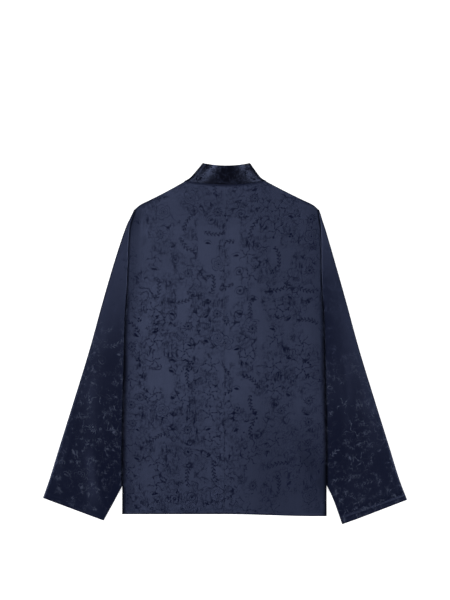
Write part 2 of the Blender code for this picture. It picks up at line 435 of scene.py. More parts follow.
def leafSpray(s, p, q, thread):
    # a bent stem with lens leaves set along both sides, about half a step apart
    shape = sprayShape
    step, half, wide = shape["step"], shape["leafHalf"], shape["leafWide"]
    bent = s.minus(q, s.times(p, p, shape["bend"]))
    stem = s.line(bent, thread * shape["stem"])
    place = s.scaled(s.calc("SIGN", bent), shape["stagger"], p)
    a = s.scaled(s.calc("FRACT", s.calc("DIVIDE", place, step)), step, -shape["start"])
    m = s.minus(s.calc("ABSOLUTE", bent), shape["offStem"])
    cosine, sine = shape["slant"]
    along = s.minus(s.plus(s.times(a, cosine), s.times(m, sine)), shape["leafAt"])
    over = s.minus(s.times(m, cosine), s.times(a, sine))
    swell = s.scaled(s.times(along, along), -wide / half**2, wide)
    leaf = s.minus(s.calc("ABSOLUTE", over), swell)
    whole = s.times(s.inside(leaf, 0.0), s.inside(s.calc("ABSOLUTE", along), half))
    return s.times(s.most(stem, whole), s.inside(s.calc("ABSOLUTE", p), *shape["reach"]))


scrollShape = {
    "step": 5.2,  # from turn to turn
    "coil": 0.9,  # share of the thread
    "reach": (10.5, 1.0),  # radius and soft edge
    "bead": 2.0,
}


def scrollTendril(s, p, q, thread):
    # a spiral line that ends in a bead
    step = scrollShape["step"]
    r = s.length(p, q)
    turn = s.calc("DIVIDE", s.calc("ARCTAN2", q, p), 2 * math.pi)
    phase = s.calc("FRACT", s.minus(s.calc("DIVIDE", r, step), turn))
    coil = s.line(s.scaled(phase, step, -step / 2), thread * scrollShape["coil"])
    coil = s.times(coil, s.inside(r, *scrollShape["reach"]))
    return s.most(coil, s.inside(r, scrollShape["bead"]))


berryShape = {
    "size": 2.0,
    "firstAt": 3.2,
    "pairAt": (1.2, 2.6),  # how far behind the middle, and to each side
    "stalk": 0.7,  # share of the thread
    "stalkBend": 0.02,
    "stalkAt": (9.0, 5.0, 1.0),  # how far behind its middle lies, half its length, soft ends
}


def berries(s, p, q, thread):
    # three dark berries on a short bent stalk
    shape = berryShape
    behind, aside = shape["pairAt"]
    first = s.minus(s.length(s.minus(p, shape["firstAt"]), q), shape["size"])
    pair = s.minus(s.length(s.plus(p, behind), s.minus(s.calc("ABSOLUTE", q), aside)), shape["size"])
    stalkBehind, stalkHalf, stalkSoft = shape["stalkAt"]
    stalk = s.line(s.minus(q, s.times(p, p, shape["stalkBend"])), thread * shape["stalk"])
    stalk = s.times(stalk, s.line(s.plus(p, stalkBehind), stalkHalf, stalkSoft))
    return s.most(s.inside(first, 0.0), s.inside(pair, 0.0), stalk)


podShape = {
    "half": 6.0,
    "wide": 2.2,
    "end": 5.8,  # the tips are cut off here
    "bow": 0.7,  # share of the thread
    "bowAt": 6.0,
    "bowBend": 0.05,
    "bowHalf": 9.0,
}


def pod(s, p, q, thread):
    # a filled pod with a thin line bowed over it
    shape = podShape
    off, square = s.calc("ABSOLUTE", p), s.times(p, p)
    edge = s.scaled(square, -shape["wide"] / shape["half"] ** 2, shape["wide"])
    lens = s.minus(s.calc("ABSOLUTE", q), edge)
    arch = s.minus(q, s.scaled(square, -shape["bowBend"], shape["bowAt"]))
    bow = s.times(s.line(arch, thread * shape["bow"]), s.inside(off, shape["bowHalf"]))
    return s.most(s.times(s.inside(lens, 0.0), s.inside(off, shape["end"])), bow)


# each motif, and the two limits between which the numbers of its cells lie
largeMotifs = [(blossom, -1.0, 0.15), (rayFlower, 0.15, 0.33), (leafSpray, 0.33, 0.58), (branch, 0.58, 2.0)]
middleMotifs = [(scrollTendril, 0.55, 0.66), (berries, 0.66, 0.80), (pod, 0.80, 2.0)]


def picked(s, p, q, pick, motifs):
    drawings = [(draw(s, p, q, figure["thread"]), low, high) for draw, low, high in motifs]
    return s.most(*[s.times(drawing, between(s, pick, low, high)) for drawing, low, high in drawings])


sprigShape = {
    "leaves": 3,
    "size": 4.2,
    "soft": 0.7,
    "cells": (0.0, 0.16),
}


def sprig(s, p, q, pick):
    # a small filled trefoil
    r = s.length(p, q)
    leaf = s.calc("COSINE", s.times(s.calc("ARCTAN2", q, p), sprigShape["leaves"] / 2))
    leaf = s.calc("ABSOLUTE", leaf)
    filled = s.inside(s.minus(r, s.times(leaf, leaf, sprigShape["size"])), 0.0, sprigShape["soft"])
    return s.times(filled, between(s, pick, *sprigShape["cells"]))


strokeShape = {
    "brush": (0.52, 0.8),  # steps to the millimetre across and along
    "detail": 1.0,
    "clump": (0.8, 0.6),  # share of its size at which a clump ends, and its soft edge
    "middle": (15.0, 7.0, -1.0, 0.55),  # width and height of a clump, and the limits of its cells
    "small": (9.0, 5.0, 0.35, 2.0),
}


def strokes(s, p, q, pick, name):
    # a clump of short brush strokes like close foliage
    wide, tall, low, high = strokeShape[name]
    brush = s.noise(p, q, *strokeShape["brush"], wide, strokeShape["detail"])
    clump = s.inside(s.length(s.times(p, 1 / wide), s.times(q, 1 / tall)), *strokeShape["clump"])
    return s.times(s.ramp(brush, *contrast["brush"]), clump, between(s, pick, low, high))


outlineShape = {
    "closer": 1.15,  # the cells are this much closer together along the cloth
    "soft": 0.4,
    "close": (2.9, 0.36),  # size of a cell and half width of its line
    "wide": (5.6, 0.42),
    "loose": (30.0, 0.7, 0.6),  # spread, half width and soft edge of the loose lines
}


def outlines(s, u, v, name):
    # the borders between random cells, as thin lines
    size, half = outlineShape[name]
    cells = s.tree.nodes.new("ShaderNodeTexVoronoi")
    cells.voronoi_dimensions = "2D"
    cells.feature = "DISTANCE_TO_EDGE"
    s.feed(cells.inputs["Scale"], 1.0)
    s.feed(cells.inputs["Vector"], s.pair(s.times(u, 1 / size), s.times(v, outlineShape["closer"] / size)))
    return s.inside(cells.outputs["Distance"], half / size, outlineShape["soft"] / size)


def figuredSatinGroup():
    tree = bpy.data.node_groups.new("figuredSatin", "ShaderNodeTree")
    tree.interface.new_socket(name="Cloth Place", in_out="INPUT", socket_type="NodeSocketVector")
    for name in ("Thread", "Fill", "Broken", "Faint"):
        tree.interface.new_socket(name=name, in_out="INPUT", socket_type="NodeSocketFloat")
    for name in ("Figure", "Streak", "Weave"):
        tree.interface.new_socket(name=name, in_out="OUTPUT", socket_type="NodeSocketFloat")
    s = NodeSheet(tree)
    given = tree.nodes.new("NodeGroupInput")
    out = tree.nodes.new("NodeGroupOutput")
    place = given.outputs["Cloth Place"]
    # the drawing wavers a little, as woven lines do
    waver = s.add("ShaderNodeTexNoise", Vector=place, Scale=figure["waverScale"],
                  Detail=figure["waverDetail"])
    drift = s.add("ShaderNodeSeparateColor", Color=waver.outputs["Color"])
    flat = s.add("ShaderNodeSeparateXYZ", Vector=place)
    across, along = [s.times(flat.outputs[k], 1 / mm) for k in range(2)]
    u = s.plus(across, s.scaled(drift.outputs[0], 2 * figure["waver"], -figure["waver"]))
    v = s.plus(along, s.scaled(drift.outputs[1], 2 * figure["waver"], -figure["waver"]))

    p, q, pick = motifCell(s, u, v, "large")
    large = picked(s, p, q, pick, largeMotifs)
    clear = s.calc("GREATER_THAN", s.length(p, q), figure["clear"])
    p, q, pick = motifCell(s, u, v, "middle")
    foliage = strokes(s, p, q, pick, "middle")
    middle = picked(s, p, q, pick, middleMotifs)
    p, q, pick = motifCell(s, u, v, "small")
    small = sprig(s, p, q, pick)
    foliage = s.most(foliage, strokes(s, p, q, pick, "small"))

    # patches of thin lines along the warp, and loose outlines that wander between the motifs
    patch = s.noise(u, v, *unevenness["patch"])
    dash = s.noise(u, v, *unevenness["dash"])
    dashes = s.times(s.ramp(dash, *contrast["dash"]), s.ramp(patch, *contrast["dashPatch"]))
    spread, half, soft = outlineShape["loose"]
    loose = s.scaled(s.noise(u, v, *unevenness["loose"]), spread, -spread / 2)
    outline = s.times(s.line(loose, half, soft), s.ramp(patch, *contrast["loosePatch"]))
    # broken outlines, close together in some places and wide apart in others
    broken = s.ramp(s.noise(u, v, *unevenness["gap"]), *contrast["gap"])
    closeCells = s.times(outlines(s, u, v, "close"), s.ramp(patch, *contrast["closePatch"]))
    wideCells = s.times(outlines(s, u, v, "wide"), s.ramp(patch, *contrast["widePatch"]))
    scribble = s.times(s.most(closeCells, wideCells), broken)
    # the fill gathers in columns and leaves plain ground between them
    close = s.ramp(s.noise(u, v, *unevenness["gather"]), *contrast["gather"])
    # some of the fill is woven closer than the rest, and all of it more loosely than the motifs
    depth = s.noise(u, v, *unevenness["depth"])
    fill = s.times(s.most(foliage, dashes, outline, scribble), close, clear, given.outputs["Fill"])
    fill = s.times(s.ramp(fill, *contrast["fill"]), s.ramp(depth, *contrast["fillDepth"]))
    motifs = s.most(large, s.times(s.most(middle, s.times(small, close)), clear))
    drawn = s.most(fill, s.ramp(motifs, *contrast["motif"]))
    # where Broken is set only patches of the figure are kept; on the sleeves, where the figure is painted
    # lighter, they are painted glints
    unseen = s.times(s.ramp(depth, *contrast["unseen"]), given.outputs["Broken"])
    drawn = s.times(drawn, s.minus(1.0, unseen), s.minus(1.0, given.outputs["Faint"]))
    s.tree.links.new(drawn, out.inputs["Figure"])

    # uneven warp threads, long along the cloth
    s.tree.links.new(s.noise(u, v, *unevenness["streak"]), out.inputs["Streak"])

    # satin threads: fine ridges along the warp, and straight-sided ribs across it where the figure floats
    ridge = s.calc("SINE", s.times(across, 2 * math.pi / figure["ridge"]))
    rib = s.minus(s.calc("PINGPONG", along, figure["rib"]), figure["rib"] / 2)
    weave = s.plus(s.times(ridge, s.minus(1.0, drawn), figure["ridgeHeight"]), s.times(rib, drawn))
    weave = s.scaled(s.noise(u, v, *unevenness["slub"]), figure["slubHeight"], weave)
    s.tree.links.new(s.times(weave, given.outputs["Thread"]), out.inputs["Weave"])
    return tree


figuredSatin = figuredSatinGroup()
print("figured satin group", len(figuredSatin.nodes), "nodes")


def satin(name, finish):
    # satin that shines along the warp, with the figure duller and of another tone
    material = bpy.data.materials.new(name)
    material.use_nodes = True
    s = NodeSheet(material.node_tree)
    shader = material.node_tree.nodes["Principled BSDF"]
    uv = s.tree.nodes.new("ShaderNodeUVMap")
    uv.uv_map = uvName
    cloth = s.tree.nodes.new("ShaderNodeGroup")
    cloth.node_tree = figuredSatin
    s.feed(cloth.inputs["Cloth Place"], uv.outputs[0])
    faint = s.tree.nodes.new("ShaderNodeAttribute")  # 0 but where the figure fades
    faint.attribute_name = faintName
    s.feed(cloth.inputs["Faint"], faint.outputs["Fac"])
    for name in ("Thread", "Fill", "Broken"):
        cloth.inputs[name].default_value = finish[name.lower()]
    drawn = cloth.outputs["Figure"]
    drawing = (*finish["figure"], 1)
    if "figurePaintedSheen" in finish:  # painted sheen: the figure's colour is made lighter down the sleeve, where the light catches it
        flat = s.add("ShaderNodeSeparateXYZ", Vector=uv.outputs[0])
        low = s.ramp(flat.outputs[1], -1 / finish["paintedSheenOver"], finish["paintedSheenFrom"] / finish["paintedSheenOver"])
        drawing = s.mixColour(low, drawing, (*finish["figurePaintedSheen"], 1))
    colour = s.mixColour(drawn, (*finish["ground"], 1), drawing)
    rim = s.tree.nodes.new("ShaderNodeAttribute")  # 0 but where the colour is painted darker as shade: along a back's side edge and on a sleeve beside the body
    rim.attribute_name = paintedShadeName
    # uneven warp threads change the tone a little, and the painted shade darkens it
    shade = s.scaled(cloth.outputs["Streak"], finish["streak"], 1 - finish["streak"] / 2)
    shade = s.times(shade, s.minus(1.0, rim.outputs["Fac"]))
    tint = s.add("ShaderNodeCombineColor", Red=shade, Green=shade, Blue=shade).outputs[0]
    s.feed(shader.inputs["Base Color"], s.mixColour(1.0, colour, tint, "MULTIPLY"))
    rougher = finish["figureRough"] - finish["groundRough"]
    s.feed(shader.inputs["Roughness"], s.scaled(drawn, rougher, finish["groundRough"]))
    height = s.plus(s.times(drawn, finish["float"]), cloth.outputs["Weave"])
    bump = s.add("ShaderNodeBump", Height=height)
    bump.inputs["Strength"].default_value = 1.0
    bump.inputs["Distance"].default_value = mm
    s.feed(shader.inputs["Normal"], bump.outputs[0])
    grain = s.tree.nodes.new("ShaderNodeTangent")
    grain.direction_type = "UV_MAP"
    grain.uv_map = uvName
    s.feed(shader.inputs["Tangent"], grain.outputs[0])
    shader.inputs["Anisotropic"].default_value = finish["alongWarp"]
    shader.inputs["Specular IOR Level"].default_value = finish["shine"]
    shader.inputs["Specular Tint"].default_value = (*finish["shineTint"], 1)
    material.diffuse_color = (*finish["ground"], 1)
    return material


bodyFinish = {
    "ground": (0.0127, 0.0161, 0.0342),
    "figure": (0.0012, 0.0026, 0.0150),
    "groundRough": 0.34,
    "figureRough": 0.36,
    "shine": 0.275,
    "shineTint": (0.46, 0.56, 0.97),
    "alongWarp": 0.95,  # how far the shine is drawn out
    "streak": 0.25,
    "float": 0.02,
    "thread": 0.36,  # slope of the ribs in the figure
    "fill": 1.0,
    "broken": 0.0,
}
# painted shade: the sleeves are of the body's cloth, but their ground and figure are made darker, as the
# light leaves them darker
sleeveShadedFinish = {
    **bodyFinish,
    "ground": (0.0042, 0.0058, 0.0176),
    "figure": (0.0028, 0.0046, 0.0165),
    # painted sheen: the lighter figure low on the sleeve
    "figurePaintedSheen": (0.0300, 0.0360, 0.0560),
    "paintedSheenFrom": 3.06,  # place along the cloth, in metres
    "paintedSheenOver": 0.07,
    "shine": 0.36,
    "thread": 0.16,
    "fill": 0.9,
    "broken": 0.85,
}
# painted shade: the collar is of the body's cloth, but its ground and figure are made darker, as its stand
# turns away from the light
collarShadedFinish = {
    **bodyFinish,
    "ground": (0.0017, 0.0017, 0.0045),
    "figure": (0.0012, 0.0018, 0.0070),
    "shine": 0.37,
    "streak": 0.1,
}
bodySatin = satin("bodySatin", bodyFinish)
sleeveSatin = satin("sleeveSatin", sleeveShadedFinish)
collarSatin = satin("collarSatin", collarShadedFinish)

reverseFinish = {
    "colour": (0.016, 0.019, 0.034),
    "deep": (0.010, 0.012, 0.024),
    "rough": 0.52,
    "rougher": 0.2,  # more where the yarn is thick
    "rib": 1.2,  # pitch of the twill
    "ribDepth": 0.03,
    "ribTone": 0.25,
    "slub": 240.0,
    "slubDetail": 2.0,
    "shine": 0.2,
}


def plainReverse(finish):
    # the plain face inside: fine twill lines in two close tones
    material = bpy.data.materials.new("plainReverse")
    material.use_nodes = True
    s = NodeSheet(material.node_tree)
    shader = material.node_tree.nodes["Principled BSDF"]
    uv = s.tree.nodes.new("ShaderNodeUVMap")
    uv.uv_map = uvName
    flat = s.add("ShaderNodeSeparateXYZ", Vector=uv.outputs[0])
    slant = s.plus(flat.outputs[0], flat.outputs[1])
    rib = s.calc("SINE", s.times(slant, 2 * math.pi / (finish["rib"] * mm)))
    slub = s.add("ShaderNodeTexNoise", Vector=uv.outputs[0], Scale=finish["slub"],
                 Detail=finish["slubDetail"])
    tone = s.plus(s.times(rib, finish["ribTone"]), slub.outputs[0])
    s.feed(shader.inputs["Base Color"], s.mixColour(tone, (*finish["deep"], 1), (*finish["colour"], 1)))
    s.feed(shader.inputs["Roughness"], s.scaled(slub.outputs[0], finish["rougher"], finish["rough"]))
    bump = s.add("ShaderNodeBump", Height=s.times(rib, finish["ribDepth"]))
    bump.inputs["Distance"].default_value = mm
    s.feed(shader.inputs["Normal"], bump.outputs[0])
    shader.inputs["Specular IOR Level"].default_value = finish["shine"]
    material.diffuse_color = (*finish["colour"], 1)
    return material


reverseCloth = plainReverse(reverseFinish)

# Body

body = {
    "wall": 1.4,
    "seam": 0.3,
    "lowerMid": 0.8,
    "upperMid": 4.7,
    "backLength": 660.4,
    "neckBack": 318.0,
    "neckRise": 6.6,
    "neckHalf": 76.5,
    "frontNeckDrop": 87.0,
    "hemDropRight": 4.0,
    "sleeveLift": 3.4,  # a front rises this far where it lies over a sleeve
    "climbX": (70.0, 156.0),  # from the middle out
    "climbY": (128.0, 84.0),  # and from the chest down
    "tipDrop": 0.9,  # the back comes down to the front this far at the shoulder tip
    "tipX": (130.0, 160.0),
    "shoulderBend": 8.0,  # width of the strip that bends along the shoulder
    "underarm": 8.0,  # the hidden side bows in this far under the arm
    "underarmAt": 100.0,
    "underarmWidth": 30.0,
}
sideTable = [  # height, and half the width of the body there
    (-345, 204.6), (-190, 204), (-62, 201), (50, 198), (98, 195), (180, 193), (226, 191.5), (246, 187.5),
    (267.5, 183),
]
shoulderTable = [(76.5, 324.3), (104, 310), (128, 298), (152, 286.4), (173, 276), (183, 267.5)]
tipHalf = sideTable[-1][1]
hemHalf = sideTable[0][1]


def sideX(y):
    return curveThrough(*zip(*sideTable), y)


def shoulderY(x):
    return curveThrough(*zip(*shoulderTable), x)


def hemY(x):
    # level on the left, a little lower on the right
    return body["neckBack"] - body["backLength"] - body["hemDropRight"] * ease(x / tipHalf)


def backTopY(x):
    # the neck seam, a parabola, then the shoulder
    x = np.abs(x)
    neck = body["neckBack"] - body["seam"] + body["neckRise"] * (x / body["neckHalf"]) ** 2
    return np.where(x < body["neckHalf"], neck, shoulderY(x))


def frontTopY(x):
    # the scooped neck, a parabola, then the shoulder
    x = np.abs(x)
    neck = shoulderTable[0][1] - body["frontNeckDrop"] * (1 - (x / body["neckHalf"]) ** 2)
    return np.where(x < body["neckHalf"], neck, shoulderY(x))


def overSleeve(x, y):
    # share of the climb over a sleeve: 0 in the middle and at the chest, 1 at the sides lower down
    return rise(np.abs(x), *body["climbX"]) * rise(y, *body["climbY"])


def tipDrop(x):
    # a smooth step towards the shoulder tip
    return body["tipDrop"] * rise(x, *body["tipX"])


def underarm(y):
    # a bell: the front's side and the sleeve's lower wall keep clear of the sleeve's upper allowance
    return body["underarm"] * bell(y - body["underarmAt"], body["underarmWidth"])


# Back

back = {
    "columns": (74, 0.62, 0.0012),  # number, crowding at the ends, guard line
    "rows": (212, 0.5, 0.0006),
    "lift": 1.0,  # the back rises this far over a sleeve
    "liftY": (220.0, 84.0),
    "crown": 0.8,  # the middle stands this much proud
    "crownY": (316.0, 226.0),
    "onSleeveY": (110.0, 84.0),  # from here down the side lies on the sleeve
    "edgeHeight": 2.25,
    "edgeRoll": 2.4,
    "plainAtSide": 10.0,  # the creases die out this close to the side
    "plainAtTop": 12.0,
    "neckPull": 0.6,  # the neck seam is pulled in this far, and twice as far right of the middle
    "neckPullWidth": 2.2,
    "neckPullAt": 24.0,
    "neckPullOver": 34.0,
    "hemRoll": 0.4,
    "hemRollWidth": 1.4,
    "allowanceX": (-7.0, -2.0, -0.1),  # of the right half, turned in under the left
    "allowanceDrop": (1.8, 1.8, 1.2),
    "onCloth": {"left": (1.953, 2.6201), "right": (1.544, 1.9248)},  # its place on the cloth, in metres
}
backGrain = {  # degrees the warp is turned
    "left": (2.5, 0.0, 13.5, 8.5),  # at the seam, farther out, more at the side, more low down
    "right": (3.0, 9.2, 5.0, 8.0),
    "outX": (0.0, 110.0),
    "sideWidth": 45.0,
    "lowY": (-60.0, -260.0),
    "lowX": (-30.0, 90.0),
    "rim": 40.0,  # more where the rim turns under
    "seam": 15.0,  # more in the centre seam
    "seamWidth": 1.8,
    "corner": 11.0,  # more in the lower right corner
    "cornerAt": (177.0, -290.0),
    "cornerAlong": (0.89, 0.45),
    "cornerRamp": 14.0,
    "cornerY": (-150.0, -260.0),
}
# painted shade: along a back's side edge the colour is painted darker, where the body lies over the sleeve;
# the warp turns there too
backRim = {
    "lowY": (20.0, -60.0),
    "turned": (3.4, 8.0, 2.0),  # width at the armhole and below it, and what is added low down
    # widths of the painted shade strip in the same way, then its strength higher up and low down
    "dark": (4.0, 7.0, 2.5),
    "shade": (0.75, 0.92),
}
backFaint = {  # share of the figure that is lost high up
    "left": (0.2, 0.42),  # at the seam and farther out
    "right": (0.3, 0.0),
    "outX": (0.0, 120.0),
    "highY": (30.0, 90.0),
}
backCreases = {
    "left": [
        ([(-162, 280), (-165, 240), (-161, 190)], (3.5, 6.0), -0.9),
        ([(-99, -322), (-74, -334), (-47, -338)], (5.0, 7.0), 0.5),
        ([(-9, -288), (-16, -308), (-25, -324)], (3.5, 4.5), 0.35),
        ([(-188, -250), (-184, -300), (-190, -338)], (9.0, 14.0), -0.7),
        ([(-120, 210), (-128, 120), (-118, 20)], (26.0, 34.0), 0.7),
        ([(-60, 60), (-54, -60), (-66, -180)], (30.0, 24.0), 0.6),
    ],
    "right": [
        ([(161, -268), (182, -300), (203, -336)], (6.0, 14.0), 1.0),
        ([(140, -110), (146, -210), (138, -320)], (12.0, 20.0), -0.9),
        ([(194, -60), (195, -160), (193, -250)], (5.0, 6.0), 0.5),
        ([(110, 240), (122, 150), (116, 40)], (24.0, 30.0), 0.8),
        ([(48, 120), (58, -20), (44, -160)], (30.0, 22.0), 0.6),
    ],
}


def rimStrip(fromEdge, widths, under, down):
    # 1 on the edge, falling to 0 over a width that grows down the side
    atArmhole, below, added = widths
    return rise(fromEdge, mix(atArmhole, below, under) + added * down, 0.0)


def backTurn(side, x, y, under, down):
    # turn of the warp: a sum of smooth steps, since the sheen follows the warp
    atSeam, out, atSide, low = backGrain[side]
    fromEdge = sideX(y) - x
    turn = mix(atSeam, out, rise(x, *backGrain["outX"]))
    turn = turn + atSide * rise(fromEdge, backGrain["sideWidth"], 0.0)
    turn = turn + low * rise(y, *backGrain["lowY"]) * rise(x, *backGrain["lowX"])
    turn = turn + backGrain["rim"] * rimStrip(fromEdge, backRim["turned"], under, down)
    turn = turn + backGrain["seam"] * rise(x, backGrain["seamWidth"], 0.0)
    if side == "right":
        (cornerX, cornerY), (alongX, alongY) = backGrain["cornerAt"], backGrain["cornerAlong"]
        into = ((x - cornerX) * alongX + (y - cornerY) * alongY) / backGrain["cornerRamp"]
        turn = turn + backGrain["corner"] * ease(into) * rise(y, *backGrain["cornerY"])
    return turn


def backPanel(side):
    # t runs from the centre back to the side, v from the hem to the neck and shoulder; the height is a broad
    # swell that grows towards the sides lower down, less a roll along the edges, plus the creases
    sign = -1 if side == "left" else 1
    across, up = closeAtEnds(*back["columns"]), closeAtEnds(*back["rows"])
    if side == "right":
        across = np.concatenate([[0, 0, 0], across])  # the seam allowance, turned in under the left half
    t, v = np.meshgrid(across, up)
    y = mix(hemY(sign * t * hemHalf), backTopY(t * tipHalf), v)
    x = body["seam"] / 2 + t * (sideX(y) - body["seam"] / 2)
    fromEdge, fromTop = sideX(y) - x, backTopY(x) - y
    swell = back["lift"] * rise(x, *body["climbX"]) * rise(y, *back["liftY"])
    swell = swell + back["crown"] * rise(x, *body["climbX"][::-1]) * rise(y, *back["crownY"])
    rest = body["upperMid"] + swell
    under = rise(y, *back["onSleeveY"])
    edge = mix(rest, back["edgeHeight"] + body["sleeveLift"] * overSleeve(x, y), under)
    z = mix(rest, edge, curl(fromEdge, back["edgeRoll"]))
    fade = ease(fromEdge / back["plainAtSide"]) * ease(fromTop / back["plainAtTop"])
    z = z + creaseHeight(sign * x, y, backCreases[side]) * fade
    # the neck seam is pulled in, the hem rolls over and the shoulder tip comes down
    pull = back["neckPull"] * (1 + bell(sign * x - back["neckPullAt"], back["neckPullOver"]))
    z = z - pull * bell(fromTop, back["neckPullWidth"]) * (x < body["neckHalf"])
    z = z - back["hemRoll"] * bell(y - hemY(sign * x), back["hemRollWidth"])
    z = z - tipDrop(x) * curl(fromTop, body["shoulderBend"])
    down = rise(y, *backRim["lowY"])
    slope = np.tan(np.radians(backTurn(side, x, y, under, down)))
    skew = np.cumsum(slope * np.gradient(x, axis=1), axis=1)
    # painted shade along the side edge, over the sleeve
    rim = mix(*backRim["shade"], down) * rimStrip(fromEdge, backRim["dark"], under, down)
    faint = mix(*backFaint[side], rise(x, *backFaint["outX"])) * rise(y, *backFaint["highY"])
    foldAt = ()
    if side == "right":
        x[:, :3] = back["allowanceX"]
        z[:, :3] -= back["allowanceDrop"]
        foldAt = np.s_[:, 3]
    place = np.stack([sign * x, y, z], -1) * mm
    acrossCloth, alongCloth = back["onCloth"][side]
    flatPlace = np.stack([sign * x * mm + acrossCloth, (y - skew) * mm + alongCloth], -1)
    return clothPiece("back" + side.capitalize(), place, flatPlace, bodySatin, foldAt=foldAt,
                      tones={paintedShadeName: rim, faintName: faint})


backs = {side: backPanel(side) for side in ("left", "right")}

# Fronts

front = {
    "columns": (60, 0.5),
    "rows": (150, 0.4),
    "crossNeck": 10.0,  # a front passes the middle by this much at the neck
    "crossHem": 60.0,
    "crossLift": 2.0,  # the left one lies this much higher on the right one
    "crossRamp": (42.0, 2.0),
    "sideGap": 0.6,
    "plainAtSide": 20.0,
    "shoulderLift": 2.3,  # the shoulder edge comes up to the edge of the back
    "shoulderFrom": 20.0,  # over this distance from the neck
    "shoulderTo": (176.0, 162.0),  # but leaves room for the sleeve at the tip
    "onCloth": (2.0, 2.3),
}
frontCreases = {  # on the hidden side, up off the surface
    "left": [
        ([(-150, 210), (-128, 90), (-138, -40)], (10.0, 16.0), 0.7),
        ([(-60, 20), (-46, -120), (-58, -250)], (12.0, 9.0), 0.8),
        ([(-176, -200), (-150, -262), (-108, -318)], (8.0, 12.0), 0.6),
    ],
    "right": [
        ([(142, 200), (150, 70), (134, -60)], (14.0, 9.0), 0.7),
        ([(84, -60), (72, -180), (90, -300)], (9.0, 13.0), 0.8),
        ([(172, -150), (160, -230), (170, -310)], (7.0, 10.0), 0.5),
    ],
}


def crossing(y):
    # how far a front passes the middle, evenly more from the neck to the hem
    neck, hem = frontTopY(0.0), hemY(0.0)
    return mix(front["crossHem"], front["crossNeck"], (y - hem) / (neck - hem))


def frontPanel(side):
    # t runs from the front edge past the centre to the side, v from the hem to the neck and shoulder; the
    # height climbs over the sleeve, over the other front and up to the shoulder, plus the creases
    sign = -1 if side == "left" else 1
    t, v = np.meshgrid(closeAtEnds(*front["columns"]), closeAtEnds(*front["rows"]))
    topX = t * (tipHalf + front["crossNeck"]) - front["crossNeck"]
    y = mix(hemY(sign * mix(-front["crossHem"], hemHalf, t)), frontTopY(topX) - body["seam"], v)
    x = mix(-crossing(y), sideX(y) - front["sideGap"] - underarm(y), t)
    z = body["lowerMid"] + body["sleeveLift"] * overSleeve(x, y)
    if side == "left":
        z = z + front["crossLift"] * rise(x - crossing(y), *front["crossRamp"])
    z = z + creaseHeight(sign * x, y, frontCreases[side]) * ease((sideX(y) - x) / front["plainAtSide"])
    lift = (front["shoulderLift"] - tipDrop(x)) * curl(shoulderY(x) - y, body["shoulderBend"])
    fromNeck = ease((x - body["neckHalf"]) / front["shoulderFrom"])
    z = z + lift * fromNeck * rise(x, *front["shoulderTo"])
    place = np.stack([sign * x, y, z], -1) * mm
    acrossCloth, alongCloth = front["onCloth"]
    flatPlace = np.stack([sign * x * mm + acrossCloth, y * mm + alongCloth], -1)
    return clothPiece("front" + side.capitalize(), place, flatPlace, bodySatin, outside=(0, 0, -1))


fronts = {side: frontPanel(side) for side in ("left", "right")}

# Sleeves

sleeve = {
    "columns": (96, 34),  # across the upper and the lower wall
    "crowding": 0.35,
    "foldSteps": 7,
    "rings": (190, 0.3),
    "fold": 4.0,  # half width of the fold along each edge
    "knee": 0.75,  # share of the way across at which a ring bends
    "armholeFade": 2.0,  # rings over which the curve of the armhole is lost
    "puff": 0.5,  # the upper wall stands this much proud beside the body
    "puffFrom": (2.0, 42.0),
    "puffEdge": 0.12,
    "onSleeveY": (110.0, 70.0),  # from here down the body lies on the sleeve
    "pressed": 1.0,  # the upper wall is pressed down this far under it
    "pressedWidth": 45.0,
    "crevice": (0.4, 1.2),  # and this far more close to its edge, at the armhole and below it
    "creviceWidth": 2.6,
    "hemGrooveAt": 9.0,  # turned hem at the cuff
    "hemGroove": {"left": 0.04, "right": 0.20},
    "hemGrooveWidth": 1.2,
    "hemRidgeAt": 13.0,
    "hemRidge": {"left": 0.04, "right": 0.28},
    "hemRidgeWidth": 4.0,
    "allowance": (7.0, 1.5),  # widths of its two rows
    "allowanceLeast": 0.2,  # share of that left under the arm
    "allowanceY": (50.0, 80.0),
    "allowanceDrop": 1.7,
    "allowanceHeights": (2.4, 2.2),  # at the shoulder tip, and the least farther down
    "allowanceTuck": (0.1, 0.05),  # both rows are moved in by this much more
    "allowanceRise": 0.1,  # from the first row to the second
    "allowanceBlend": 1.5,  # how soon the fold at each edge is lowered with the rest
    "tipShare": (0.08, 0.18),
    "grainTurn": 16.0,  # degrees the warp is turned from the body's on the whole
    "grainAt": 215.0,
    "grainFan": {"left": 3.0, "right": 16.0},  # it is turned less at the outer edge by this much
    "fanWidth": 90.0,
    "fanAt": 40.0,
    "fanOver": 110.0,
    "stripe": {"left": 0.12, "right": 0.0},  # slope by which the warp turns back along a stripe
    "stripeAt": 266.0,
    "stripeWidth": 15.0,
    "stripeY": (-40.0, -100.0),
    "nearBody": {"left": 2.4, "right": 5.0},  # the sleeve is painted darker as shade this close to the edge of the body, and its warp turns more there
    "nearPaintedShade": 0.85,
    "nearPower": 3,  # how sharply the warp turns there
    "onCloth": {"left": (2.6, 3.0), "right": (3.4, 3.07)},
}
grainTable = {  # height and turn of the warp there
    "left": [(-285, 28), (-194, 25), (-74, 20), (-34, 17.6), (6, 14.6), (46, 12.5), (86, 10.5), (126, 9.2),
             (166, 7), (206, 7.3)],
    "right": [(-240, 24.5), (-194, 22.5), (-154, 20), (-114, 16.5), (-74, 15.8), (6, 16.3), (46, 17.4),
              (126, 16.2), (166, 12.6), (206, 8.8)],
}
armholeTable = [  # share of the way across, x and y
    (0, 184.4, 266.5), (0.1, 189.7, 243), (0.2, 192.8, 222), (0.4, 194.1, 176), (0.6, 195.7, 124),
    (0.75, 197.2, 84), (0.86, 192.5, 63), (0.94, 183, 54), (1, 171, 48),
]
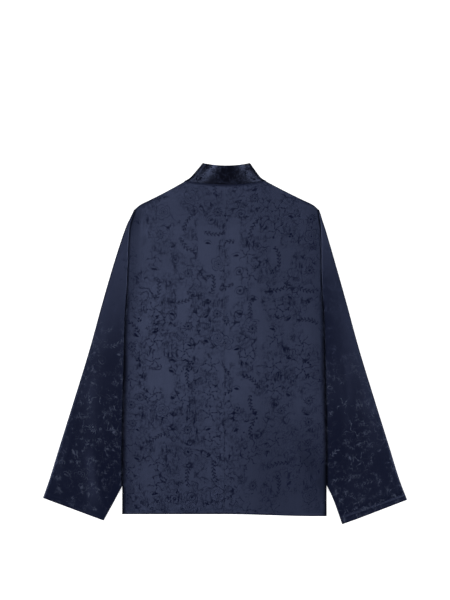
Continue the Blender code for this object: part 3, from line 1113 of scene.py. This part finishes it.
sleeveTable = [  # outer x and y, knee x and y, inner x and y of each ring from the armhole down
    (184.4, 266.5, 197.2, 84, 171, 48), (191.5, 249, 200.6, 74, 167.5, 22), (201, 224, 204.3, 58, 165.5, -8),
    (219, 166, 205, 22, 163.5, -52), (241.5, 88, 191, -44, 162, -108), (269.5, -14, 189, -122, 162, -158),
    (298.2, -108, 200.3, -181.5, 168, -206), (328.2, -204, 222.9, -240, 188, -252),
    (348.5, -270, 248.8, -297, 215.5, -306),
]
cuffTable = {
    "left": (362.4, -310.2, 271.9, -344.0, 242.2, -355.0),
    "right": (365.0, -313.8, 268.0, -351.0, 236.2, -362.4),
}
sleeveCreases = {
    "left": [
        ([(-246, -330), (-258, -250), (-272, -160)], (12.0, 16.0), 0.9),
        ([(-224, -40), (-246, -140), (-272, -240)], (12.0, 16.0), -0.7),
        ([(-300, -150), (-318, -220), (-332, -290)], (12.0, 16.0), 0.4),
        ([(-214, 130), (-226, 60), (-240, -20)], (9.0, 14.0), 0.7),
    ],
    "right": [
        ([(238, -6), (240, -60), (250, -130)], (6.0, 9.0), 0.7),
        ([(262, -60), (280, -150), (300, -230)], (12.0, 17.0), 0.8),
        ([(226, -30), (246, -130), (262, -230)], (10.0, 14.0), -0.7),
        ([(214, 140), (224, 70), (236, 0)], (9.0, 14.0), 0.7),
    ],
}


def acrossRing(row, share, first):
    # curve across a ring through its outer edge, its knee and its inner edge
    knee = sleeve["knee"]
    outer, middle, inner = row[first], row[first + 2], row[first + 4]
    slopeOuter, slopeInner = (middle - outer) / knee, (inner - middle) / (1 - knee)
    upper = hermite(outer, middle, slopeOuter, inner - outer, knee, share / knee)
    lower = hermite(middle, inner, inner - outer, slopeInner, 1 - knee, (share - knee) / (1 - knee))
    return np.where(share < knee, upper, lower)


def sleeveOnCloth(side, x, y, near):
    # the cloth is turned as a whole; where the warp turns more or less, it slants
    sign = -1 if side == "left" else 1
    angle = np.radians(sleeve["grainTurn"])
    fromMiddle = x - sleeve["grainAt"]
    u = x * np.cos(angle) + y * np.sin(angle) - sleeve["grainAt"]
    more = np.radians(curveThrough(*zip(*grainTable[side]), y)) - angle
    fan = np.radians(sleeve["grainFan"][side]) / sleeve["fanWidth"]
    fan = fan * bell(y - sleeve["fanAt"], sleeve["fanOver"])
    v = y * np.cos(angle) - fromMiddle * np.sin(angle) - np.tan(more) * u + fan * u**2 / 2
    width = sleeve["stripeWidth"]
    stripe = np.tanh((x - sleeve["stripeAt"]) / width) * rise(y, *sleeve["stripeY"])
    v = v + sleeve["stripe"][side] * width * stripe + sleeve["nearBody"][side] / sleeve["nearPower"] * near
    acrossCloth, alongCloth = sleeve["onCloth"][side]
    return np.stack([sign * u * mm + acrossCloth, v * mm + alongCloth], -1)


def sleevePanel(side):
    # each ring is a flat loop: across its upper wall, round a fold, back along its lower wall and round
    # the other fold
    sign = -1 if side == "left" else 1
    rows = np.array(sleeveTable + [cuffTable[side]], float)
    top, bottom = [closeAtEnds(count, sleeve["crowding"]) for count in sleeve["columns"]]
    steps = sleeve["foldSteps"]
    turn = np.radians(np.linspace(90, -90, steps + 2)[1:-1])
    across = np.concatenate([top, np.ones(steps), bottom[::-1], np.zeros(steps)])
    into = np.concatenate([0 * top, np.cos(turn), 0 * bottom, -np.cos(turn)])
    level = np.concatenate([0 * top + 1, np.sin(turn), 0 * bottom - 1, -np.sin(turn)])
    ringNumber = closeAtEnds(*sleeve["rings"]) * (len(rows) - 1)
    row = [curveThrough(np.arange(len(rows)), column, ringNumber)[:, None] for column in rows.T]
    fold = sleeve["fold"] / np.hypot(row[4] - row[0], row[5] - row[1])
    share = fold + (1 - 2 * fold) * across + fold * into
    x, y = acrossRing(row, share, 0), acrossRing(row, share, 1)
    sewn = np.clip(1 - ringNumber / sleeve["armholeFade"], 0, 1)[:, None]
    armShare, armX, armY = zip(*armholeTable)
    x = x + sewn * (curveThrough(armShare, armX, share) - acrossRing(rows[0], share, 0))
    y = y + sewn * (curveThrough(armShare, armY, share) - acrossRing(rows[0], share, 1))
    x = x - sewn * underarm(y) * np.clip(-level, 0, 1)
    z = mix(body["lowerMid"], body["upperMid"], (1 + level) / 2)
    beside = x - sideX(y)  # distance outside the edge of the body
    above = np.clip(level, 0, 1)
    onSleeve = rise(y, *sleeve["onSleeveY"])
    proud = rise(beside, *sleeve["puffFrom"]) * ease(share / sleeve["puffEdge"]) * above
    z = z + (sleeve["puff"] + creaseHeight(sign * x, y, sleeveCreases[side])) * proud
    z = z - sleeve["pressed"] * onSleeve * rise(beside, sleeve["pressedWidth"], 0.0) * above
    z = z - mix(*sleeve["crevice"], onSleeve) * rise(beside, sleeve["creviceWidth"], 0.0) * above
    # turned hem: a groove above a slightly thicker edge
    toCuff = np.hypot(rows[-1, 0] - row[0], rows[-1, 1] - row[1])
    ridge = sleeve["hemRidge"][side] * bell(toCuff - sleeve["hemRidgeAt"], sleeve["hemRidgeWidth"])
    groove = sleeve["hemGroove"][side] * bell(toCuff - sleeve["hemGrooveAt"], sleeve["hemGrooveWidth"])
    z = z + above * (ridge - groove)
    # seam allowance: the first ring again, turned in under the back and lower at the shoulder tip
    ringX, ringY, ringZ = x[:1], y[:1], z[:1]
    turnedIn = above * mix(sleeve["allowanceLeast"], 1.0, rise(ringY, *sleeve["allowanceY"]))
    atTip, least = sleeve["allowanceHeights"]
    lowered = np.maximum(ringZ - sleeve["allowanceDrop"], least)
    lowered = mix(atTip, lowered, rise(share[:1], *sleeve["tipShare"]))
    lowered = mix(ringZ, lowered, np.clip(sleeve["allowanceBlend"] * above, 0, 1))
    rowSizes = zip(sleeve["allowance"], sleeve["allowanceTuck"])
    x = np.vstack([ringX - width * turnedIn - tuck for width, tuck in rowSizes] + [x])
    y = np.vstack([ringY, ringY, y])
    z = np.vstack([lowered, lowered + sleeve["allowanceRise"] * above, z])
    place = np.stack([sign * x, y, z], -1) * mm
    # close to the body the warp turns more, and the colour is painted darker as shade beside the body's edge
    near = np.clip(1 - (x - sideX(y)) / sleeve["nearBody"][side], 0, 1)
    underBody = rise(y, *sleeve["onSleeveY"]) * above
    flatPlace = sleeveOnCloth(side, x, y, near ** sleeve["nearPower"] * underBody)
    shade = sleeve["nearPaintedShade"] * ease(near) * underBody
    return clothPiece("sleeve" + side.capitalize(), place, flatPlace, sleeveSatin, closed=True,
                      foldAt=np.s_[2:3, :], tones={paintedShadeName: shade})


sleeves = {side: sleevePanel(side) for side in ("left", "right")}

# Collar

collar = {
    "columns": 56,  # in each quarter of the band
    "rows": (24, 0.5),
    "baseHalf": 75.0,
    "baseRise": 7.5,
    "topHalf": 46.6,
    "taper": 0.9,  # power by which it narrows upwards
    "cornerY": 360.0,
    "sag": 5.2,
    "frontDrop": 84.0,
    "lean": 2.0,
    "endGap": 0.6,
    "foldFrom": 0.92,
    "flare": 3.0,  # the sides run out into the shoulders
    "flareHeight": 0.2,
    "stand": 9.0,  # the upper edge rises this far at the centre back
    "standAt": 0.06,
    "standHalf": 0.92,
    "standPower": 1.2,
    "allowanceOut": (6.0, 3.0),  # two rows, outwards at the sides of the neck
    "allowanceDown": (6.0, 1.6),
    "allowanceIn": (1.7, 1.5),
    "onCloth": (4.0, 4.4),
}


def collarBand():
    # share runs from one end at the centre front over the back to the other end, height from the seam to the
    # upper edge; both edges are parabolas, and the band turns through a quarter ellipse at the neck's sides
    half = np.sin(np.linspace(0, np.pi / 2, collar["columns"]))
    endShare = collar["endGap"] / 2 / collar["topHalf"]
    frontHalf = half[-2::-1]
    frontHalf = np.append(frontHalf[frontHalf > endShare], endShare)
    shareHalf = np.concatenate([half, frontHalf])
    layerHalf = np.concatenate([0 * half + 1, 0 * frontHalf - 1])
    share = np.concatenate([-shareHalf[:0:-1], shareHalf])
    layer = np.concatenate([layerHalf[:0:-1], layerHalf])
    height = closeAtEnds(*collar["rows"])[:, None]
    drop = np.where(layer > 0, mix(collar["baseRise"], collar["sag"], height),
                    mix(body["frontNeckDrop"], collar["frontDrop"], height)) * (1 - share**2)
    intoFold = np.clip((np.abs(share) - collar["foldFrom"]) / (1 - collar["foldFrom"]), 0, 1)
    level = layer * np.sqrt(1 - intoFold**2)
    wide = mix(collar["baseHalf"], collar["topHalf"], height ** collar["taper"])
    wide = wide + collar["flare"] * curl(height, collar["flareHeight"])
    x = share * wide + collar["lean"] * height
    y = mix(body["neckBack"] + collar["baseRise"], collar["cornerY"], height) - drop
    fromCentre = (share - collar["standAt"]) / collar["standHalf"]
    lift = np.clip(level, 0, 1) * np.clip(1 - fromCentre**2, 0, 1) ** collar["standPower"]
    z = mix(body["lowerMid"], body["upperMid"], (1 + level) / 2) + collar["stand"] * lift * height
    # seam allowance: the lower edge again, turned in
    seamX, seamY, seamZ = x[:1], y[:1], z[:1]
    outward = np.sign(share) * intoFold
    x = np.vstack([seamX + out * outward for out in collar["allowanceOut"]] + [x])
    y = np.vstack([seamY - down for down in collar["allowanceDown"]] + [y])
    z = np.vstack([seamZ - inward * level for inward in collar["allowanceIn"]] + [z])
    place = np.stack([x, y, z], -1) * mm
    acrossCloth, alongCloth = collar["onCloth"]
    flatPlace = np.stack([x * mm + acrossCloth, y * mm + alongCloth], -1)
    return clothPiece("collarBand", place, flatPlace, collarSatin, foldAt=np.s_[2:3, :])


collarPiece = collarBand()

# Frame: what each piece stands for, and its cut

made = {
    "back_left": (backs["left"], "body_cloth", ["front_left", "sleeve_left"]),
    "back_right": (backs["right"], "body_cloth", ["front_right", "sleeve_right"]),
    "front_left": (fronts["left"], "body_cloth", ["front_right", "sleeve_left"]),
    "front_right": (fronts["right"], "body_cloth", ["sleeve_right"]),
    "sleeve_left": (sleeves["left"], "sleeve_cloth", []),
    "sleeve_right": (sleeves["right"], "sleeve_cloth", []),
    "collar": (collarPiece, "collar_cloth", []),
}
for node, (piece, slot, under) in made.items():
    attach(piece, "root")
    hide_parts(node)
print("pieces ride and replace their nodes")

# Floor, light and camera

studio = {
    "floorHalf": 6.0,
    "floorTone": 0.9,
    "floorRough": 0.9,
    "floorGlow": 0.8,
    "lightAngle": 44.0,  # degrees from overhead
    "lightAway": 9.0,
    "lightSize": (2.4, 1.7),
    "leftPower": 430.0,
    "rightPower": 360.0,
    "air": (0.05, 0.3),  # overhead, and in the pale ring above the floor
    "airColour": (0.9, 0.95, 1.0, 1),
    "ring": (-3.0, 2.5),  # slope and start: full up to 30 degrees, none past 56
    "cameraAt": (0.0012, 0.086, 8.338),
    "lens": 250.0,
    "sensor": 36.0,
}


def paleFloor():
    mesh = bpy.data.meshes.new("floor")
    half = studio["floorHalf"]
    corners = [(-half, -half, 0), (half, -half, 0), (half, half, 0), (-half, half, 0)]
    mesh.from_pydata(corners, [], [(0, 1, 2, 3)])
    floor = bpy.data.objects.new("floor", mesh)
    scene.collection.objects.link(floor)
    material = bpy.data.materials.new("paleFloor")
    material.use_nodes = True
    shader = material.node_tree.nodes["Principled BSDF"]
    shader.inputs["Base Color"].default_value = (*[studio["floorTone"]] * 3, 1)
    shader.inputs["Roughness"].default_value = studio["floorRough"]
    shader.inputs["Emission Color"].default_value = (1, 1, 1, 1)
    shader.inputs["Emission Strength"].default_value = studio["floorGlow"]
    mesh.materials.append(material)


def softBox(name, sign, power):
    # a rectangle of light to one side that faces the middle of the jacket
    light = bpy.data.lights.new(name, "AREA")
    light.shape = "RECTANGLE"
    light.size, light.size_y = studio["lightSize"][::-1]
    light.energy = power
    lamp = bpy.data.objects.new(name, light)
    angle = math.radians(studio["lightAngle"])
    lamp.location = (sign * studio["lightAway"] * math.sin(angle), 0.0, studio["lightAway"] * math.cos(angle))
    lamp.rotation_euler = Vector(-lamp.location).to_track_quat("-Z", "Y").to_euler()
    scene.collection.objects.link(lamp)


paleFloor()
softBox("softBoxLeft", -1, studio["leftPower"])
softBox("softBoxRight", 1, studio["rightPower"])
world = bpy.data.worlds.new("studioAir")
world.use_nodes = True
air = NodeSheet(world.node_tree)
outwards = world.node_tree.nodes.new("ShaderNodeTexCoord").outputs["Generated"]
heightAbove = air.add("ShaderNodeSeparateXYZ", Vector=outwards).outputs[2]
overhead, nearFloor = studio["air"]
glow = air.scaled(air.ramp(heightAbove, *studio["ring"]), nearFloor - overhead, overhead)
air.feed(world.node_tree.nodes["Background"].inputs["Strength"], glow)
air.feed(world.node_tree.nodes["Background"].inputs["Color"], studio["airColour"])
scene.world = world
scene.view_settings.view_transform = "Standard"

camera = bpy.data.objects.new("camera", bpy.data.cameras.new("camera"))
camera.data.lens = studio["lens"]
camera.data.sensor_width = studio["sensor"]
camera.location = studio["cameraAt"]
scene.collection.objects.link(camera)
scene.camera = camera
print("studio ready")
